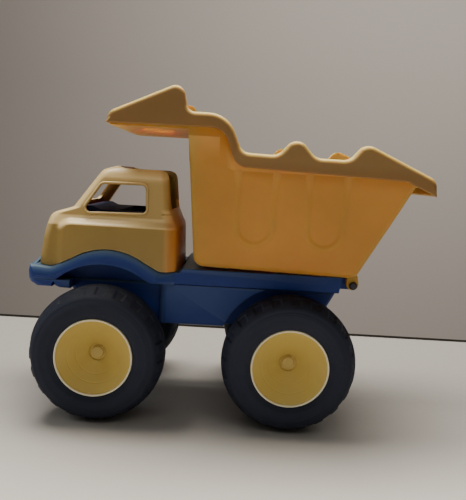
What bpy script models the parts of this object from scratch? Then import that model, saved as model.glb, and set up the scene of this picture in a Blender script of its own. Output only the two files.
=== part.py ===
"""Toy dump truck: moulded chassis, open cab, tipping bed on a rear pin, four balloon wheels.

Frame: +X towards the nose, +Y towards the left side, +Z up, origin on the floor under the
middle of the truck. Sizes below are in millimetres; the mesh makers turn them into metres.
"""
import math

import bmesh
import bpy
from mathutils import Matrix, Vector

MM = 0.001
ARC_STEPS = 4
GAP = 0.3  # between pieces that rest on each other
WALL = 2.5  # moulded wall

# Wheels and axles
WHEEL_R = 55.0
AXLE_X = {"front": 100.0, "rear": -56.0}
AXLE_Z = WHEEL_R
AXLE_R = 2.5
AXLE_CLEARANCE = 0.3
WHEEL_SIDES = 28
TYRE_IN, TYRE_OUT = 50.0, 100.0  # distances of the tyre's faces from the truck's middle plane
HUB_R = 31.2
HUB_FACE = 98.5
DISH_FLOOR = 78.2
CONE_FOOT = 6.8  # radius of the flat round the axle cap
AXLE_END = 78.9

# Chassis
PARTING = 110.0  # level where the deck meets the hull
DECK_TOP = 124.2
DECK_HALF = 56.0
FENDER_HALF = 64.0
BUMPER_BOW = 0.8
HULL_HALF = 45.0
FLANK_HALF = 54.0  # the hull's half-width between the wheels
FLANK_FRONT = 47.5
BELLY = 76.2
DECK_REAR = -97.5
SEAT_FRONT = 158.6  # where the cab's nose meets the bumper

# Cab
CAB_LEVELS = ((100.0, 60.6), (156.0, 60.0), (162.5, 52.5), (206.6, 44.5))  # height, half-width
CAB_BOW = 1.5  # how far the nose falls back towards its corners
CAB_POSTS = ((144.0, 30.0), (53.0, 36.0))  # x, y of each pair of screw posts
POST_FOOT, POST_TOP = 121.6, 150.0
SLOT_HALF = 39.0

# Bed
PIN_X, PIN_Z, PIN_R = -108.1, 118.1, 1.8
BED_LEVELS = ((100.0, 64.7), (210.0, 76.0), (300.0, 76.0))  # height, half-width
RIM_HALF = 83.0
TRAY_HALF = 73.4
LUG_Y = (50.0, 58.0)
EAR_Y = (42.5, 49.5)

# Corners of the rim's side view (x, z, radius): canopy fin, step, two bumps, tail; then below
RIM_TOP = (
    (99.2, 240.2), (97.8, 249.0, 8.5), (40.2, 275.2, 7.8), (35.6, 252.3, 7.0), (3.6, 252.3, 23.0),
    (-8.6, 222.9, 9.0), (-37.0, 222.2, 12.0), (-47.3, 233.9, 9.0), (-56.0, 233.9, 9.0),
    (-66.8, 221.6, 12.0), (-94.0, 221.4, 12.0), (-104.6, 234.2, 9.0), (-112.0, 232.9, 12.0),
    (-164.2, 209.4, 9.0), (-164.2, 196.6),
)
RIM_BELOW = ((-140.0, 207.2, 8.0), (-4.4, 211.4, 12.0), (6.6, 240.8, 14.0))

HULL_SCREWS = ((50.0, 28.0), (-14.0, 28.0))

PAINT = {
    "orange": ((0.80, 0.42, 0.10), 0.38, 0.0),
    "ochre": ((0.72, 0.50, 0.16), 0.30, 0.0),
    "navy": ((0.03, 0.08, 0.22), 0.42, 0.0),
    "hub_yellow": ((0.75, 0.60, 0.22), 0.40, 0.0),
    "tyre_black": ((0.015, 0.018, 0.024), 0.55, 0.0),
    "steel": ((0.50, 0.50, 0.50), 0.30, 1.0),
    "dark_steel": ((0.05, 0.05, 0.06), 0.40, 1.0),
}


def paint(ob, name):
    """Gives the object its own Principled material."""
    colour, roughness, metallic = PAINT[name]
    mat = bpy.data.materials.new(ob.name + "_finish")
    mat.use_nodes = True
    shader = mat.node_tree.nodes["Principled BSDF"]
    shader.inputs["Base Color"].default_value = (*colour, 1.0)
    shader.inputs["Roughness"].default_value = roughness
    shader.inputs["Metallic"].default_value = metallic
    ob.data.materials.clear()
    ob.data.materials.append(mat)
    return ob


def rounded(corners, steps=ARC_STEPS):
    """Outline through corners (x, z) or (x, z, radius), each radius as an arc."""
    outline = []
    for i, corner in enumerate(corners):
        point = Vector(corner[:2])
        if len(corner) == 2:
            outline.append(tuple(point))
            continue
        radius = corner[2]
        before = (Vector(corners[i - 1][:2]) - point).normalized()
        after = (Vector(corners[(i + 1) % len(corners)][:2]) - point).normalized()
        half = before.angle(after) / 2
        centre = point + (before + after).normalized() * (radius / math.sin(half))
        start = point + before * (radius / math.tan(half)) - centre
        end = point + after * (radius / math.tan(half)) - centre
        turn = start.angle_signed(end)
        for k in range(steps + 1):
            swung = Matrix.Rotation(-turn * k / steps, 2) @ start
            outline.append(tuple(centre + swung))
    return outline


def inset(outline, distance):
    """The outline moved inwards by a distance, each side staying parallel."""
    area = sum(a[0] * b[1] - b[0] * a[1] for a, b in zip(outline, outline[1:] + outline[:1]))
    side = distance if area > 0 else -distance
    moved = []
    for i, point in enumerate(outline):
        before = (Vector(point) - Vector(outline[i - 1])).normalized()
        after = (Vector(outline[(i + 1) % len(outline)]) - Vector(point)).normalized()
        normal = Vector((-before.y - after.y, before.x + after.x)).normalized()
        stretch = max(normal.dot(Vector((-before.y, before.x))), 0.5)
        moved.append(tuple(Vector(point) + normal * side / stretch))
    return moved


def mesh_object(name, bm):
    """Turns a bmesh in millimetres into an object in metres."""
    bmesh.ops.recalc_face_normals(bm, faces=bm.faces)
    bmesh.ops.scale(bm, vec=(MM, MM, MM), verts=bm.verts)
    mesh = bpy.data.meshes.new(name)
    bm.to_mesh(mesh)
    bm.free()
    ob = bpy.data.objects.new(name, mesh)
    bpy.context.scene.collection.objects.link(ob)
    return ob


def prism(name, outline, y0, y1, levels=None):
    """An (x, z) outline extruded along Y. With levels, its half-width follows the height."""
    bm = bmesh.new()
    ring = [bm.verts.new((x, y0, z)) for x, z in outline]
    face = bm.faces.new(ring)
    far = bmesh.ops.extrude_face_region(bm, geom=[face])["geom"]
    for vert in far:
        if isinstance(vert, bmesh.types.BMVert):
            vert.co.y = y1
    if levels:
        for height, _ in levels[1:-1]:
            bisect(bm, (0, 0, height), (0, 0, 1))
        for vert in bm.verts:
            vert.co.y = math.copysign(at_height(levels, vert.co.z), vert.co.y)
    return mesh_object(name, bm)


def bisect(bm, point, normal, faces=None):
    """Adds the edges where a plane crosses the faces, or the faces given."""
    faces = faces or bm.faces[:]
    edges = list({e for f in faces for e in f.edges})
    geom = list({v for e in edges for v in e.verts}) + edges + faces
    bmesh.ops.bisect_plane(bm, geom=geom, plane_co=point, plane_no=normal, dist=1e-5)


def at_height(levels, z):
    """Half-width at a height, straight between the levels."""
    for (z0, w0), (z1, w1) in zip(levels, levels[1:]):
        if z <= z1:
            return w0 + (w1 - w0) * (z - z0) / (z1 - z0)
    return levels[-1][1]


def narrower(levels, by):
    return tuple((z, w - by) for z, w in levels)


def turned(name, profile, centre, axis, sides=WHEEL_SIDES):
    """A closed (radius, along) profile turned about an axis, Y or Z, through a centre.

    Flats touch the true radius, so a round piece of that radius fits inside.
    """
    bm = bmesh.new()
    grow = 1 / math.cos(math.pi / sides)
    rings = []
    for k in range(sides):
        a = math.tau * (k + 0.5) / sides
        ring = []
        for r, along in profile:
            c, s = r * grow * math.cos(a), r * grow * math.sin(a)
            ring.append(Vector((c, along, s)) if axis == "Y" else Vector((c, s, along)))
        rings.append([bm.verts.new(p) for p in ring])
    count = len(profile)
    for ring, other in zip(rings, rings[1:] + rings[:1]):
        for i in range(count):
            j = (i + 1) % count
            if profile[i][0] > 0 or profile[j][0] > 0:
                bm.faces.new((ring[i], ring[j], other[j], other[i]))
    bmesh.ops.remove_doubles(bm, verts=bm.verts, dist=1e-4)
    bmesh.ops.dissolve_degenerate(bm, edges=bm.edges, dist=1e-5)
    ob = mesh_object(name, bm)
    for vert in ob.data.vertices:
        vert.co += Vector(centre) * MM
    ob.data.shade_smooth()
    ob.data.set_sharp_from_angle(angle=math.radians(35))
    return ob


def bow(ob, start, depth, half):
    """Bends everything ahead of x = start back towards the corners, in plan."""
    bm = bmesh.new()
    bm.from_mesh(ob.data)
    bisect(bm, (start * MM, 0, 0), (1, 0, 0))
    for share in (0.45, 0.8):
        for side in (-1, 1):
            ahead = [f for f in bm.faces if f.calc_center_median().x > start * MM]
            bisect(bm, (0, side * share * half * MM, 0), (0, 1, 0), ahead)
    for vert in bm.verts:
        reach = max(0.0, min(1.0, (vert.co.x / MM - start) / 8))
        vert.co.x -= depth * MM * reach * (vert.co.y / MM / half) ** 2
    bm.to_mesh(ob.data)
    bm.free()
    return ob


def rod(name, radius, start, end, sides=12):
    """A round bar along Y or Z between two points."""
    start, end = Vector(start), Vector(end)
    axis = "Y" if abs(end.y - start.y) > abs(end.z - start.z) else "Z"
    length = (end - start).length
    profile = [(0, 0), (radius, 0), (radius, length), (0, length)]
    return turned(name, profile, min(start, end, key=lambda p: p.y + p.z), axis, sides)


def soften(ob, width, angle=35.0, segments=2):
    """Rounds the object's sharp edges."""
    bevel = ob.modifiers.new("soft_edges", "BEVEL")
    bevel.width = width * MM
    bevel.segments = segments
    bevel.limit_method = "ANGLE"
    bevel.angle_limit = math.radians(angle)
    settle(ob)
    return ob


def settle(ob):
    """Applies the object's modifiers."""
    graph = bpy.context.evaluated_depsgraph_get()
    graph.update()
    mesh = bpy.data.meshes.new_from_object(ob.evaluated_get(graph), depsgraph=graph)
    ob.modifiers.clear()
    ob.data = mesh
    mesh.name = ob.name


def combine(ob, tools, operation):
    """Joins the tools to the object or cuts them out of it, and removes them."""
    for tool in tools:
        step = ob.modifiers.new("step", "BOOLEAN")
        step.operation = operation
        step.solver = "EXACT"
        step.object = tool
        settle(ob)
        bpy.data.objects.remove(tool)
    return ob


def join(ob, *tools):
    return combine(ob, tools, "UNION")


def cut(ob, *tools):
    return combine(ob, tools, "DIFFERENCE")


def finish(ob, colour, pivot=(0.0, 0.0, 0.0)):
    """Merges stray points, shades, paints, and puts the origin at the pivot."""
    bm = bmesh.new()
    bm.from_mesh(ob.data)
    bmesh.ops.remove_doubles(bm, verts=bm.verts, dist=2e-6)
    bmesh.ops.dissolve_degenerate(bm, edges=bm.edges, dist=2e-6)
    shift = Vector(pivot) * MM
    bmesh.ops.translate(bm, vec=-shift, verts=bm.verts)
    bm.to_mesh(ob.data)
    bm.free()
    ob.location = shift
    ob.data.shade_smooth()
    ob.data.set_sharp_from_angle(angle=math.radians(35))
    return paint(ob, colour)


def seat_line(lift):
    """Corners of the line where the cab sits on the chassis, nose to rear, raised by a lift."""
    crest = []
    for k in range(9):
        a = math.radians(45.2 + (134.8 - 45.2) * k / 8)
        crest.append((98.5 + 53.9 * math.cos(a), 83.1 + lift + 53.9 * math.sin(a)))
    front = [(SEAT_FRONT, 121.4 + lift), (141.5, 120.6 + lift)]
    rear = [(56.0, 120.6 + lift), (44.0, 120.6 + lift), (39.6, 120.6 + lift)]
    return front + crest + rear


def screw(name, x, y, seat, tip):
    """A pan-head screw pointing up: its head's upper face at the seat, its end at the tip."""
    profile = [
        (0, seat - 2.3), (2.2, seat - 2.3), (3.4, seat - 1.2), (3.4, seat), (1.5, seat),
        (1.5, tip - 1.5), (0, tip),
    ]
    return finish(turned(name, profile, (x, y, 0), "Z", 12), "steel", (x, y, seat))


def deck_top(x):
    """Height of the deck's upper face at the screw bosses."""
    return DECK_TOP if x < 40 else 120.6


def make_deck():
    """Upper chassis moulding: bumper top, fenders, deck and hinge ears."""
    low = PARTING + GAP / 2
    nose = [(163.8, low), (164.35, 116.0, 3.0), (163.2, 122.5, 3.0), (161.5, 126.4, 1.2)]
    nose += [(SEAT_FRONT + 0.4, 126.4, 0.8), (SEAT_FRONT + 0.4, 121.4)]
    front = rounded(nose, 2) + seat_line(0.0)[1:-1] + [(42.0, 120.6), (42.0, low)]
    deck = prism("deck", front, -FENDER_HALF, FENDER_HALF)
    soften(bow(deck, SEAT_FRONT + 0.8, BUMPER_BOW, FENDER_HALF), 2.0, 50.0)
    rear = [(60.0, low + 0.3), (60.0, 117.0), (44.0, 117.0), (43.0, 120.4), (38.4, 120.4)]
    rear += [(35.6, DECK_TOP)]
    rear += [(-100.2, DECK_TOP, 1.0), (DECK_REAR - 0.5, 115.5), (DECK_REAR, low + 0.3)]
    join(deck, prism("rear", rounded(rear, 2), -DECK_HALF, DECK_HALF))
    arch = [(101.0 + 59.0 * math.cos(a), 66.0 + 59.0 * math.sin(a)) for a in arch_angles()]
    under_fender = [(x, z - WALL) for x, z in seat_line(0.0)[2:11]] + [(64.0, 95.0), (137.0, 95.0)]
    pocket = [(54.0, 100.0), (54.0, 117.5), (37.5, 117.8), (33.0, DECK_TOP - WALL)]
    pocket += [(-95.0, DECK_TOP - WALL)]
    pocket += [(-95.0, 100.0)]
    core = [(161.0, 100.0), (160.5, 118.0), (150.0, 118.2)]
    core += [(x, z - WALL) for x, z in seat_line(0.0)[1:-1]] + pocket[2:]
    half = HULL_HALF - WALL
    cut(deck, prism("core", core, -half, half))
    for side in (-1, 1):
        cut(deck, prism("arch", [(143.0, 95.0)] + arch + [(59.0, 95.0)], side * HULL_HALF, side * 80))
        cut(deck, prism("fender", under_fender, side * HULL_HALF, side * (FENDER_HALF - WALL)))
        cut(deck, prism("pocket", pocket, side * HULL_HALF, side * (DECK_HALF - WALL)))
    ear = [(-90.0, 113.5), (-112.7, 113.5, 4.5), (-112.7, 122.7, 4.5), (-90.0, 122.7)]
    for side in (-1, 1):
        cut(deck, prism("slot", [(-95.2, 123.0), (-90.0, 123.0), (-90.0, 113.0), (-95.2, 113.0)],
                        side * EAR_Y[0], side * (EAR_Y[1] + 0.5)))
        join(deck, prism("ear", rounded(ear), side * EAR_Y[0], side * EAR_Y[1]))
        join(deck, rod("rest", 4.0, (12.0, side * 30, 122.5), (12.0, side * 30, 127.6)))
        for x, y in HULL_SCREWS:
            top = deck_top(x) - 1.0
            boss = [(0, top), (5.0, top), (5.0, low), (1.8, low), (1.8, 116.6), (0, 116.6)]
            join(deck, turned("boss", boss, (x, side * y, 0), "Z", 12))
        for x, y in CAB_POSTS:
            cut(deck, rod("hole", 1.8, (x, side * y, 112.0), (x, side * y, 130.0)))
    cut(deck, rod("pin_hole", PIN_R + GAP, (PIN_X, -70.0, PIN_Z), (PIN_X, 70.0, PIN_Z)))
    return finish(deck, "navy")


def arch_angles():
    """Directions round the wheel arch, nose to rear."""
    return [math.radians(42.0 + 96.0 * k / 10) for k in range(11)]


def flank_outline(by):
    """Side view of the hull's broad middle between the wheels, or of the hollow inside its wall."""
    centre, radius = AXLE_X["rear"], WHEEL_R + 3.5 + by
    low = BELLY + by
    high = PARTING - GAP / 2 + by
    arc = []
    for k in range(9):
        z = high + (low - high) * k / 8
        arc.append((centre + math.sqrt(radius ** 2 - (z - AXLE_Z) ** 2), z))
    return [(FLANK_FRONT - by, low), (FLANK_FRONT - by, high)] + arc


def make_hull():
    """Lower chassis moulding: belly, bumper underside and the four axle bosses."""
    top = PARTING - GAP / 2
    outline = [(136.0, top), (128.0, 96.0, 4.0), (118.0, 62.0), (112.0, 43.5, 6.0)]
    outline += [(88.0, 43.5, 6.0), (76.0, BELLY, 4.0), (-36.0, BELLY, 4.0), (-45.0, 43.5, 6.0)]
    outline += [(-69.0, 43.5, 6.0), (-80.0, 82.0), (-91.0, 98.5), (-97.0, top)]
    outline = rounded(outline, 3)
    hull = prism("hull", outline, -HULL_HALF, HULL_HALF)
    join(hull, soften(prism("flanks", flank_outline(0.0), -FLANK_HALF, FLANK_HALF), 1.5, 60.0))
    lip = [(163.8, top), (162.4, 107.0, 3.0), (156.0, 103.6, 3.0), (128.6, 102.7), (128.6, top)]
    lip = prism("lip", rounded(lip), -FENDER_HALF + 1.0, FENDER_HALF - 1.0)
    join(hull, soften(bow(lip, SEAT_FRONT + 0.8, BUMPER_BOW, FENDER_HALF), 1.5, 50.0))
    for x in AXLE_X.values():
        join(hull, rod("boss", 7.5, (x, -TYRE_IN, AXLE_Z), (x, TYRE_IN, AXLE_Z), 20))
    core = [(x, min(z, top - WALL) if z > 100 else z) for x, z in inset(outline, WALL)]
    core = [(core[0][0], 120.0)] + core[1:-1] + [(core[-1][0], 120.0)]
    cut(hull, prism("core", core, WALL - HULL_HALF, HULL_HALF - WALL))
    cut(hull, prism("flank_core", flank_outline(WALL), WALL - FLANK_HALF, FLANK_HALF - WALL))
    lip_core = [(158.0, 120.0), (157.0, 106.2), (131.2, 105.2), (131.2, 120.0)]
    cut(hull, prism("lip_core", lip_core, -FENDER_HALF + 3.5, FENDER_HALF - 3.5))
    for x in AXLE_X.values():
        cut(hull, rod("bore", AXLE_R + AXLE_CLEARANCE, (x, -70, AXLE_Z), (x, 70, AXLE_Z)))
    for x, y in HULL_SCREWS:
        for side in (-1, 1):
            post = [(3.8, BELLY - 0.4), (5.4, BELLY - 0.4), (5.4, top - 0.2), (1.8, top - 0.2)]
            post += [(1.8, 100.0), (3.8, 100.0)]
            cut(hull, rod("well", 4.5, (x, side * y, 70.0), (x, side * y, 90.0)))
            join(hull, turned("post", post, (x, side * y, 0), "Z", 12))
    return finish(hull, "navy")


def cab_outline():
    """Side view of the cab's outer face, from the roof down the nose and along the seat line."""
    roof = [(47.9, 180.0), (50.2, 206.6, 5.0), (104.0, 206.6, 12.0), (115.3, 194.5)]
    nose = [(132.0, 170.4, 2.0), (150.8, 165.2, 7.0), (155.4, 147.0), (158.0, 126.0)]
    seat = [(158.2, 121.4 + GAP + 0.1)] + seat_line(GAP + 0.1)[1:]
    back = [(40.2, 157.5), (46.8, 171.5, 6.0)]
    return rounded(roof + nose + seat + back, 3)


def cab_solid(name, by):
    """The cab's outer form, or the hollow inside a wall."""
    outline = cab_outline()
    if by:
        outline = [(x, z - 12.0 if z < 124.2 or on_crest(x, z) else z) for x, z in inset(outline, by)]
    ob = prism(name, outline, -1, 1, narrower(CAB_LEVELS, by))
    return soften(bow(ob, 143.0, CAB_BOW, CAB_LEVELS[1][1]), 6.0 - by, 48.0, 1 if by else 2)


def on_crest(x, z):
    """True for a point on the arched part of the seat line, or just inside it."""
    return abs(math.hypot(x - 98.5, z - 83.1) - 53.9) < 5.0 and z < 145.0


def make_cab():
    """Cab moulding with windows, windscreen, and one opening over the roof and down the back."""
    cab = cab_solid("cab", 0.0)
    cut(cab, cab_solid("core", WALL))
    side_window = [(107.0, 191.6, 4.0), (69.3, 192.0, 4.0), (68.4, 168.6, 2.5), (123.2, 167.2, 3.0)]
    cut(cab, prism("side_window", rounded(side_window), -70, 70))
    screen = rounded([(40.0, 175.0, 4.0), (36.0, 191.5, 4.0), (-36.0, 191.5, 4.0), (-40.0, 175.0, 4.0)], 3)
    pane = prism("screen", screen, 98.0, 150.0)
    pane.data.transform(Matrix.Rotation(math.radians(-90), 4, "Z"))
    cut(cab, pane)
    slot = [(95.0, 220.0), (95.0, 198.0), (60.0, 198.0), (60.0, 171.6), (30.0, 171.6), (30.0, 220.0)]
    cut(cab, prism("slot", slot, -SLOT_HALF, SLOT_HALF))
    for x, y in CAB_POSTS:
        for side in (-1, 1):
            post = [(0, POST_TOP), (4.0, POST_TOP), (4.0, POST_FOOT), (1.8, POST_FOOT)]
            post += [(1.8, 134.0), (0, 134.0)]
            join(cab, turned("post", post, (x, side * y, 0), "Z", 12))
            wall_x = 41.2 if x < 100 else 154.0
            web = [(wall_x, 136.0), (x + 1.0, 136.0), (x + 1.0, 148.0), (wall_x, 148.0)]
            join(cab, prism("web", web, side * y - 1.2, side * y + 1.2))
    return finish(cab, "ochre")


def make_interior():
    """Seat and dashboard tub: walls up to the window sills, a seat in its well, a dashboard."""
    corners = [(60.5, 137.6), (60.5, 169.5, 2.0), (110.0, 169.5, 6.0), (115.5, 172.3, 4.0)]
    corners += [(124.8, 171.8, 3.0), (126.0, 160.0), (126.0, 137.6)]
    tub = prism("interior", rounded(corners, 3), -47.0, 47.0)
    cut(tub, prism("well", [(64.0, 151.0), (64.0, 190.0), (93.0, 190.0), (93.0, 151.0)], -43.0, 43.0))
    under = [(63.0, 130.0), (63.0, 148.5), (95.5, 148.5), (95.5, 167.0), (111.0, 167.0)]
    under += [(116.0, 169.6), (122.6, 169.2), (123.5, 159.0), (123.5, 130.0)]
    cut(tub, prism("under", rounded(under, 3), -44.5, 44.5))
    seat = [(63.5, 150.5), (63.5, 166.0), (68.0, 166.0, 2.0), (71.0, 158.0, 2.0), (86.0, 157.0, 2.0)]
    join(tub, prism("seat", rounded(seat + [(87.0, 150.5)], 3), -36.0, 36.0))
    return finish(tub, "navy")


def rim_outline():
    """Side view of the rim: canopy fin, step, two bumps and the falling tail."""
    return rounded(RIM_TOP + RIM_BELOW)


def rim_roof():
    """The rim's upper line alone, moved inwards by one wall."""
    count = sum(1 if len(corner) == 2 else ARC_STEPS + 1 for corner in RIM_TOP)
    return inset(rim_outline(), WALL)[:count - 1]


def make_bed():
    """Tub, rim, canopy and hinge lugs in one moulding."""
    slope = (151.7 - 108.2) / (206.0 - 125.0)
    body = [(35.3, 243.0), (26.0, 128.3, 9.0), (-108.2, 125.2, 7.0), (-151.7, 206.0)]
    body += [(-140.0, 212.0), (-7.0, 216.5), (0.0, 230.0), (9.0, 244.0)]
    bed = prism("bed", rounded(body), -1, 1, BED_LEVELS)
    join(bed, soften(prism("rim", rim_outline(), -RIM_HALF, RIM_HALF), 2.0, 60.0))
    cavity = [(32.4, 280.0), (23.9, 131.0, 7.0), (-106.7, 127.8, 5.0)]
    cavity += [(-106.7 - (280.0 - 127.8) * slope, 280.0)]
    cut(bed, prism("cavity", rounded(cavity), -1, 1, narrower(BED_LEVELS, WALL)))
    tray = [(31.0, 241.7), (95.0, 241.7), (95.0, 280.0), (31.0, 280.0)]
    panel = [(33.0, 239.0), (97.4, 239.0), (97.4, 242.4), (33.0, 242.4)]
    join(bed, prism("panel", panel, -TRAY_HALF - WALL, TRAY_HALF + WALL))
    cut(bed, prism("tray", tray, -TRAY_HALF, TRAY_HALF))
    under = [(-161.7, 190.0), (-40.0, 190.0), (9.5, 212.0), (9.5, 234.0), (96.6, 234.0)]
    for side in (-1, 1):
        channel = prism("channel", rim_roof() + under, side * (TRAY_HALF + 2.4), side * (RIM_HALF - WALL))
        cut(bed, channel)
    lip = [(-161.7, 190.0), (-161.7, 207.2), (-154.0, 210.6), (-142.5, 190.0)]
    cut(bed, prism("lip", lip, -TRAY_HALF - 3.1, TRAY_HALF + 3.1))
    dimple = turned("dimple", [(0, 230.0), (20.0, 230.0), (20.0, 240.3), (0, 240.3)], (67, 0, 0), "Z", 24)
    for vert in dimple.data.vertices:
        vert.co.y *= 2.5
    cut(bed, dimple)
    for side in (-1, 1):
        lug = rounded([(-102.5, 127.2), (-102.5, 114.3, 4.0), (-113.6, 114.3, 4.0), (-111.5, 130.0)], 5)
        lug = [(x, min(z, 127.0)) for x, z in lug]
        join(bed, prism("lug", lug, side * LUG_Y[0], side * LUG_Y[1]))
        for middle in (-22.0, -79.0):
            join(bed, prism_on_wall("rib", rib_outline(middle), side))
    cut(bed, rod("pin_hole", PIN_R + GAP, (PIN_X, -70, PIN_Z), (PIN_X, 70, PIN_Z)))
    return finish(bed, "orange", (PIN_X, 0, PIN_Z))


def rib_outline(middle):
    """A raised U on the side wall: two legs joined by a half circle."""
    outer, inner, bend = 16.5, 12.5, 163.5
    outline = [(middle - outer, 212.0)]
    outline += [(middle - outer * math.cos(a), bend - outer * math.sin(a)) for a in half_turn()]
    outline += [(middle + outer, 212.0), (middle + inner, 212.0)]
    outline += [(middle + inner * math.cos(a), bend - inner * math.sin(a)) for a in half_turn()]
    return outline + [(middle - inner, 212.0)]


def half_turn():
    return [math.pi * k / 8 for k in range(9)]


def prism_on_wall(name, outline, side):
    """An outline raised one millimetre out of the bed's sloping side wall."""
    ob = prism(name, outline, -1, 1)
    for vert in ob.data.vertices:
        wall = at_height(BED_LEVELS, vert.co.z / MM)
        vert.co.y = side * (wall + (1.0 if vert.co.y > 0 else -1.0)) * MM
    if side < 0:
        ob.data.flip_normals()
    return ob


def make_wheel(end, hand):
    """One wheel: tyre, outer hub, inner hub and axle cap, each turned about the axle."""
    side = 1 if hand == "left" else -1
    centre = (AXLE_X[end], 0.0, AXLE_Z)
    pivot = (AXLE_X[end], side * (TYRE_IN + TYRE_OUT) / 2, AXLE_Z)
    bore = AXLE_R + AXLE_CLEARANCE
    tyre = [
        (HUB_R + GAP, 96.5), (42.0, 100.0), (48.4, 97.2), (52.4, 91.0), (54.4, 83.0),
        (55.0, 75.0), (55.0, 67.0), (53.6, 57.5), (49.5, 52.4), (42.0, 50.0),
        (HUB_R + GAP, 52.5), (HUB_R + GAP, 56.0), (45.0, 54.0), (51.5, 66.0), (51.5, 75.0),
        (49.2, 88.0), (44.0, 96.0), (HUB_R + GAP, 93.0),
    ]
    hub = [
        (HUB_R, 97.6), (HUB_R - 0.9, HUB_FACE), (HUB_R - 2.0, 97.6), (CONE_FOOT, DISH_FLOOR),
        (bore, DISH_FLOOR), (bore, 75.4), (CONE_FOOT, 75.4), (28.0, 93.4), (28.9, 93.4),
        (28.9, 75.2), (HUB_R, 75.2),
    ]
    back = [
        (HUB_R, 74.9), (28.9, 74.9), (28.9, 54.0), (6.5, 54.0), (6.5, 74.9), (bore, 74.9),
        (bore, 51.2), (HUB_R, 51.2),
    ]
    cap_seat = DISH_FLOOR + GAP
    cap = [
        (0, AXLE_END + 2.0), (4.4, AXLE_END + 1.8), (5.6, AXLE_END + 0.8), (5.6, cap_seat),
        (bore, cap_seat), (bore, AXLE_END + GAP), (0, AXLE_END + GAP),
    ]
    tag = end + "_" + hand
    for kind, profile, colour, sides in (
        ("tyre", tyre, "tyre_black", WHEEL_SIDES),
        ("wheel_hub", hub, "hub_yellow", WHEEL_SIDES),
        ("wheel_back", back, "hub_yellow", WHEEL_SIDES),
        ("axle_cap", cap, "hub_yellow", 12),
    ):
        shaped = [(r, side * s) for r, s in profile]
        finish(turned(kind + "_" + tag, shaped, centre, "Y", sides), colour, pivot)


def make_hinge_pin():
    """Steel pin through the chassis ears and bed lugs, with its head on the left."""
    reach = LUG_Y[1] + GAP
    profile = [(0, -reach - 2.2), (PIN_R, -reach - 2.2), (PIN_R, reach), (3.3, reach)]
    profile += [(3.3, reach + 1.2), (2.4, reach + 2.0), (0, reach + 2.0)]
    pin = turned("hinge_pin", profile, (PIN_X, 0, PIN_Z), "Y", 12)
    finish(pin, "dark_steel", (PIN_X, 0, PIN_Z))
    nut = [(PIN_R + GAP, -reach), (3.3, -reach), (3.3, -reach - 1.4), (PIN_R + GAP, -reach - 2.0)]
    cap = turned("hinge_pin_nut", nut, (PIN_X, 0, PIN_Z), "Y", 12)
    finish(cap, "dark_steel", (PIN_X, 0, PIN_Z))


def main():
    for ob in list(bpy.data.objects):
        bpy.data.objects.remove(ob)
    make_deck().name = "chassis_deck"
    make_hull().name = "chassis_hull"
    make_cab().name = "cab_shell"
    make_interior().name = "cab_interior"
    make_bed().name = "dump_bed"
    make_hinge_pin()
    for end, x in AXLE_X.items():
        axle = rod("axle_" + end, AXLE_R, (x, -AXLE_END, AXLE_Z), (x, AXLE_END, AXLE_Z))
        finish(axle, "steel", (x, 0, AXLE_Z))
        for hand in ("left", "right"):
            make_wheel(end, hand)
    for place, (x, y) in zip(("front", "rear"), HULL_SCREWS):
        for hand, side in (("left", 1), ("right", -1)):
            screw("hull_screw_" + place + "_" + hand, x, side * y, 100.0 - GAP, 115.8)
    for place, (x, y) in zip(("front", "rear"), CAB_POSTS):
        for hand, side in (("left", 1), ("right", -1)):
            screw("cab_screw_" + place + "_" + hand, x, side * y, 120.6 - WALL - GAP - 0.1, 132.5)


main()
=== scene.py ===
"""Looks for the toy dump truck: moulded plastic bodywork, balloon tyres and a plain studio."""
import math

import bmesh
import bpy
from mathutils import Matrix, Vector


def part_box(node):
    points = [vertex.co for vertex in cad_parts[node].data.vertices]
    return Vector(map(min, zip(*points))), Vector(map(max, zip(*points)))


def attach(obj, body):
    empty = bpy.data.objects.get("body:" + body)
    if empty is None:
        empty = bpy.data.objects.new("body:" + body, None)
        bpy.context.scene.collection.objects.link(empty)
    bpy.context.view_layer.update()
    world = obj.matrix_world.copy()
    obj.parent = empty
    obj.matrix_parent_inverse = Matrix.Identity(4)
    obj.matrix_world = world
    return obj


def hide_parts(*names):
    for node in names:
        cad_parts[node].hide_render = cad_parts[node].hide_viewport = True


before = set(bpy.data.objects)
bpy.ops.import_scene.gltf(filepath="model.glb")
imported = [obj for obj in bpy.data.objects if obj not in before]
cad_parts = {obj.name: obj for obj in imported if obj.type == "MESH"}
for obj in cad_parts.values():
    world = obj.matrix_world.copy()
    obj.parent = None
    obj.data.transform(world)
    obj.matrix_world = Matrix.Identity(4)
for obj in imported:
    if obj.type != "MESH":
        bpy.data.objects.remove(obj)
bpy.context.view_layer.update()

# Sizes and places are in millimetres, unless a comment says metres
MM = 0.001
WALL = 2.5
GAP = 0.3

# Wheels: the tyres' radius and the axles' places are read from the CAD
TYRE_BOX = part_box("tyre_front_left")
WHEEL_R = (TYRE_BOX[1][2] - TYRE_BOX[0][2]) / 2 / MM
AXLE_Z = WHEEL_R
HUB_R = 31.2
HUB_FACE = 98.5
DISH_FLOOR = 78.2
CAP_FACE = 80.7
TYRE_MIDDLE = 75.0  # distance of each tyre's middle from the truck's
BLOCKS = 21
AXLES = tuple((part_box("axle_" + end)[0].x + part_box("axle_" + end)[1].x) / 2 / MM for end in ("front", "rear"))

# Chassis
PARTING = 110.0
DECK_TOP = 124.2
DECK_HALF = 56.0
FENDER_HALF = 64.0
HULL_HALF = 45.0
BELLY = 76.2
FLANK_HALF = 54.0  # the hull's half-width between the wheels
FLANK_FRONT = 47.5
DECK_REAR = -97.5

# Cab
CAB_BOW, BACK_BOW = 1.5, 4.4  # how far the nose and the back curve away towards the corners
SLOT_HALF = 40.0
SEAT_FRONT = 158.6

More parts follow.
